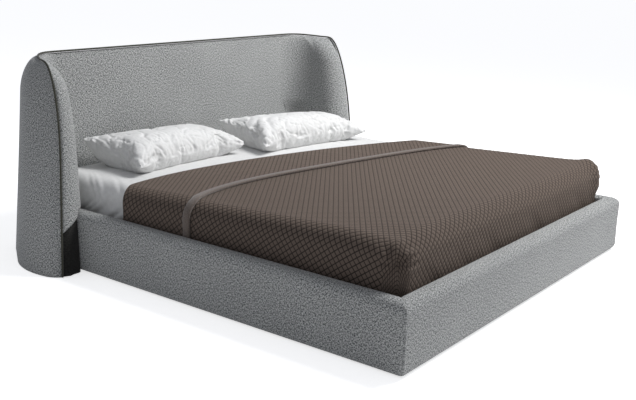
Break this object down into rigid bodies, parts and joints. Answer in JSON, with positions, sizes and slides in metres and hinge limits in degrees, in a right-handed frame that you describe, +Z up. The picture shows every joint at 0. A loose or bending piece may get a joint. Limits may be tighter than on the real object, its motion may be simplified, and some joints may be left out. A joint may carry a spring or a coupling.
{
  "type": "upholstered bed",
  "caption": "Low upholstered double bed with a padded headboard that wraps round the pillows as a curved shell, slatted base, mattress, folded quilted coverlet and pillows.",
  "frame": {"origin": "on the floor, in the middle of the bed's length and width", "axes": "+X to the right seen from the foot, +Y towards the headboard, +Z up"},
  "size_m": [2.3484, 2.331, 0.959],
  "materials": {
    "grey_cloth": "woven melange upholstery",
    "piping_cloth": "dark corded edge",
    "dark_lining": "matt lining",
    "timber": "planed pine",
    "slat_beech": "laminated beech",
    "steel": "zinc plated",
    "mattress_ticking": "knitted ticking",
    "white_cotton": "cotton percale",
    "quilted_coverlet": "diamond-quilted cotton",
    "binding_cloth": "flat woven binding"
  },
  "bodies": {
    "frame": {"headboard_shell": "grey_cloth", "headboard_pad": "grey_cloth", "headboard_piping": "piping_cloth", "wing_lining_left": "dark_lining", "wing_lining_right": "dark_lining", "headboard_post_left": "timber", "headboard_post_right": "timber", "headboard_panel": "timber", "headboard_top_rail": "timber", "headboard_bottom_rail": "timber", "side_rail_board_left": "timber", "side_rail_cover_left": "grey_cloth", "side_rail_board_right": "timber", "side_rail_cover_right": "grey_cloth", "foot_rail_board": "timber", "foot_rail_cover": "grey_cloth", "head_rail": "timber", "corner_bracket_foot_left": "steel", "corner_bolt_foot_left_side": "steel", "corner_bolt_foot_left_end": "steel", "corner_bracket_head_left": "steel", "corner_bolt_head_left_side": "steel", "corner_bolt_head_left_end": "steel", "corner_bracket_foot_right": "steel", "corner_bolt_foot_right_side": "steel", "corner_bolt_foot_right_end": "steel", "corner_bracket_head_right": "steel", "corner_bolt_head_right_side": "steel", "corner_bolt_head_right_end": "steel", "headboard_bolt_left": "steel", "headboard_bolt_right": "steel", "slat_ledge_left": "timber", "slat_ledge_right": "timber", "centre_beam": "timber", "beam_hanger_foot": "steel", "beam_hanger_head": "steel", "centre_leg_foot": "timber", "centre_leg_middle": "timber", "centre_leg_head": "timber", "slat_01": "slat_beech", "slat_02": "slat_beech", "slat_03": "slat_beech", "slat_04": "slat_beech", "slat_05": "slat_beech", "slat_06": "slat_beech", "slat_07": "slat_beech", "slat_08": "slat_beech", "slat_09": "slat_beech", "slat_10": "slat_beech", "slat_11": "slat_beech", "slat_12": "slat_beech", "slat_13": "slat_beech", "slat_14": "slat_beech"},
    "mattress": {"mattress": "mattress_ticking", "fitted_sheet": "white_cotton", "coverlet": "quilted_coverlet", "coverlet_binding": "binding_cloth"},
    "pillow_left": {"pillow_left": "white_cotton"},
    "pillow_right": {"pillow_right": "white_cotton"}
  },
  "joints": [
    {"name": "mattress_lift", "type": "slide", "parent": "frame", "child": "mattress", "axis": [0, 0, 1], "range_m": [0, 0.35]},
    {"name": "pillow_left_lift", "type": "slide", "parent": "mattress", "child": "pillow_left", "axis": [0, 0, 1], "range_m": [0, 0.4]},
    {"name": "pillow_right_lift", "type": "slide", "parent": "mattress", "child": "pillow_right", "axis": [0, 0, 1], "range_m": [0, 0.4]}
  ]
}
